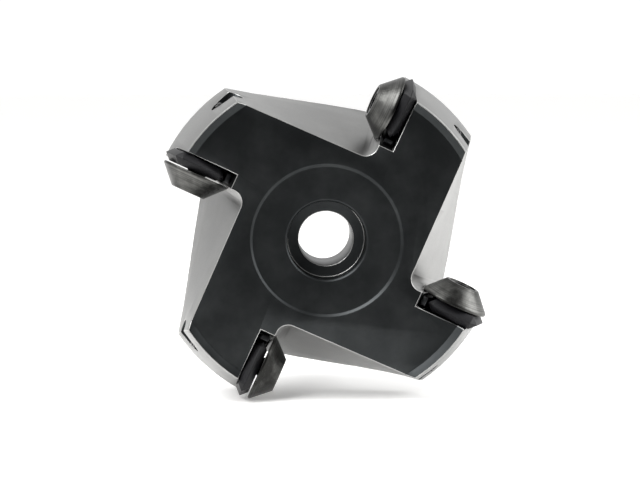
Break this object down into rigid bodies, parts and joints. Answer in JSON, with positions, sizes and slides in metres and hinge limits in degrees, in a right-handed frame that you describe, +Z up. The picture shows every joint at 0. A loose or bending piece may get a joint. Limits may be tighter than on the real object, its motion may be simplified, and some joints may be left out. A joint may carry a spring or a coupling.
{
  "type": "face mill",
  "caption": "Shell-type face mill, 75 degree approach: negative square inserts under conical screw-down clamps, open chip gullets, and a keyed arbor bore.",
  "frame": {"origin": "on the spindle axis, halfway along the tool with its inserts in place", "axes": "+Y along the spindle axis from the cutting end to the arbor face, +Z up as the tool lies on two of its teeth"},
  "size_m": [0.0768, 0.0509, 0.0768],
  "materials": {
    "black_oxide_steel": "satin black oxide",
    "coated_carbide": "dark coated carbide",
    "blued_steel": "blued",
    "blackened_clamp": "turned and blackened",
    "alloy_screw": "black alloy steel"
  },
  "bodies": {
    "cutter": {"cutter_body": "black_oxide_steel", "insert_1": "coated_carbide", "insert_2": "coated_carbide", "insert_3": "coated_carbide", "insert_4": "coated_carbide", "stop_strip_1": "blued_steel", "stop_strip_2": "blued_steel", "stop_strip_3": "blued_steel", "stop_strip_4": "blued_steel"},
    "clamp_cap_1": {"clamp_cap_1": "blackened_clamp"},
    "clamp_screw_1": {"clamp_screw_1": "alloy_screw"},
    "clamp_cap_2": {"clamp_cap_2": "blackened_clamp"},
    "clamp_screw_2": {"clamp_screw_2": "alloy_screw"},
    "clamp_cap_3": {"clamp_cap_3": "blackened_clamp"},
    "clamp_screw_3": {"clamp_screw_3": "alloy_screw"},
    "clamp_cap_4": {"clamp_cap_4": "blackened_clamp"},
    "clamp_screw_4": {"clamp_screw_4": "alloy_screw"}
  },
  "joints": [
    {"name": "clamp_lift_1", "type": "slide", "parent": "cutter", "child": "clamp_cap_1", "axis": [-0.9083, -0.061, 0.4139], "range_m": [0, 0.003]},
    {"name": "clamp_screw_turn_1", "type": "hinge", "parent": "clamp_cap_1", "child": "clamp_screw_1", "pos_m": [0.01427, -0.0162, 0.0313], "axis": [-0.9083, -0.061, 0.4139], "range_deg": [0, 1351]},
    {"name": "clamp_lift_2", "type": "slide", "parent": "cutter", "child": "clamp_cap_2", "axis": [-0.4139, -0.061, -0.9083], "range_m": [0, 0.003]},
    {"name": "clamp_screw_turn_2", "type": "hinge", "parent": "clamp_cap_2", "child": "clamp_screw_2", "pos_m": [-0.0313, -0.0162, 0.01427], "axis": [-0.4139, -0.061, -0.9083], "range_deg": [0, 1351]},
    {"name": "clamp_lift_3", "type": "slide", "parent": "cutter", "child": "clamp_cap_3", "axis": [0.9083, -0.061, -0.4139], "range_m": [0, 0.003]},
    {"name": "clamp_screw_turn_3", "type": "hinge", "parent": "clamp_cap_3", "child": "clamp_screw_3", "pos_m": [-0.01427, -0.0162, -0.0313], "axis": [0.9083, -0.061, -0.4139], "range_deg": [0, 1351]},
    {"name": "clamp_lift_4", "type": "slide", "parent": "cutter", "child": "clamp_cap_4", "axis": [0.4139, -0.061, 0.9083], "range_m": [0, 0.003]},
    {"name": "clamp_screw_turn_4", "type": "hinge", "parent": "clamp_cap_4", "child": "clamp_screw_4", "pos_m": [0.0313, -0.0162, -0.01427], "axis": [0.4139, -0.061, 0.9083], "range_deg": [0, 1351]}
  ],
  "couplings": [
    {"joint": "clamp_screw_turn_1", "follows": "clamp_lift_1", "rad_per_m": 7854},
    {"joint": "clamp_screw_turn_2", "follows": "clamp_lift_2", "rad_per_m": 7854},
    {"joint": "clamp_screw_turn_3", "follows": "clamp_lift_3", "rad_per_m": 7854},
    {"joint": "clamp_screw_turn_4", "follows": "clamp_lift_4", "rad_per_m": 7854}
  ]
}
